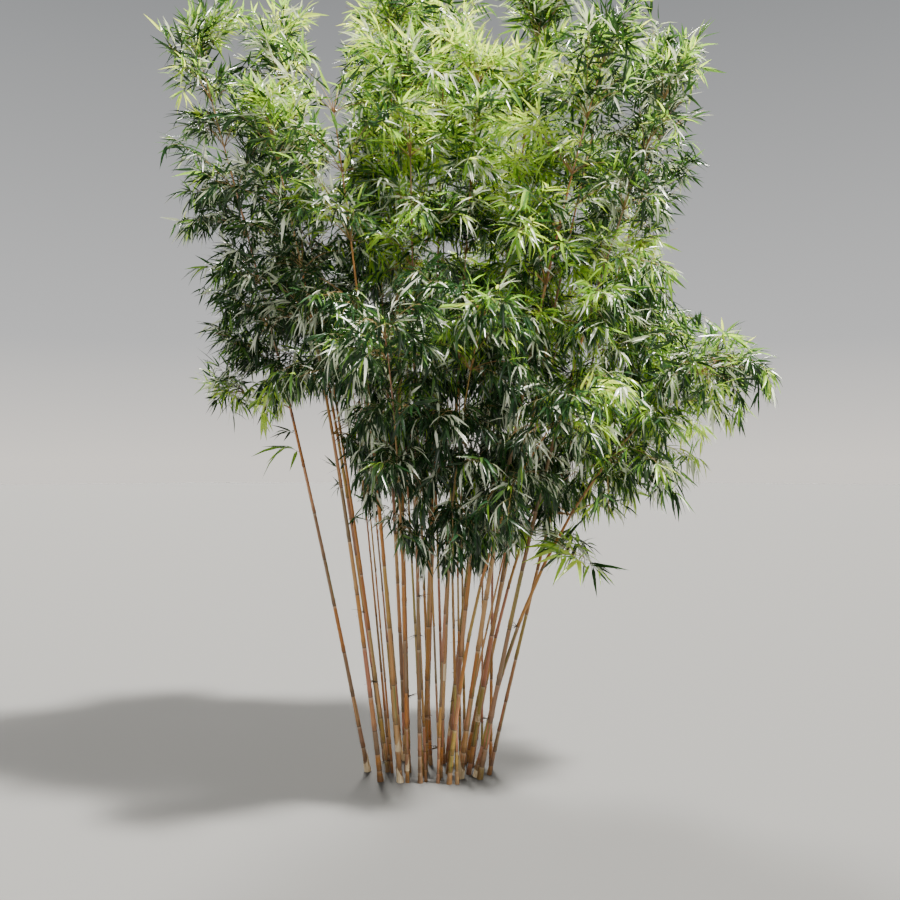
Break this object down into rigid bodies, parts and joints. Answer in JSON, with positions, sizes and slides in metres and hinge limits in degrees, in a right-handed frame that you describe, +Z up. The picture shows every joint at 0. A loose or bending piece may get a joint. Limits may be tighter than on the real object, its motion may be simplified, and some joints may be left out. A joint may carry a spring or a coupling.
{
  "type": "clumping bamboo, rooted in the ground",
  "caption": "Clump of golden-caned garden bamboo: jointed canes fanning from one narrow foot, each with a leafy plume.",
  "frame": {"origin": "middle of the flat cut under the main cane, at ground level", "axes": "+Z up along the canes, +X to the viewer's right along the width of the clump, +Y away from the viewer"},
  "size_m": [2.9944, 2.3706, 3.8153],
  "materials": {
    "cane": "satin",
    "branch": "satin",
    "foliage": "satin"
  },
  "bodies": {
    "root": {"bough_low_left": "branch", "bough_low_right": "branch", "cane_back_1": "cane", "cane_back_2": "cane", "cane_back_3": "cane", "cane_back_4": "cane", "cane_back_5": "cane", "cane_front_1": "cane", "cane_front_2": "cane", "cane_front_3": "cane", "cane_front_4": "cane", "cane_front_5": "cane", "cane_front_6": "cane", "cane_low_back_1": "cane", "cane_low_back_2": "cane", "cane_low_front_1": "cane", "cane_low_front_2": "cane", "cane_low_front_3": "cane", "cane_low_right_1": "cane", "cane_low_right_2": "cane", "cane_middle_1": "cane", "cane_middle_2": "cane", "cane_middle_3": "cane", "cane_middle_4": "cane", "cane_middle_5": "cane", "cane_middle_6": "cane", "cane_middle_7": "cane", "plume_back_1": "foliage", "plume_back_2": "foliage", "plume_back_3": "foliage", "plume_back_4": "foliage", "plume_back_5": "foliage", "plume_front_1": "foliage", "plume_front_2": "foliage", "plume_front_3": "foliage", "plume_front_4": "foliage", "plume_front_5": "foliage", "plume_front_6": "foliage", "plume_low_back_1": "foliage", "plume_low_back_2": "foliage", "plume_low_front_1": "foliage", "plume_low_front_2": "foliage", "plume_low_front_3": "foliage", "plume_low_right_1": "foliage", "plume_low_right_2": "foliage", "plume_middle_1": "foliage", "plume_middle_2": "foliage", "plume_middle_3": "foliage", "plume_middle_4": "foliage", "plume_middle_5": "foliage", "plume_middle_6": "foliage", "plume_middle_7": "foliage", "spray_low_left": "foliage", "spray_low_right": "foliage"}
  },
  "joints": []
}
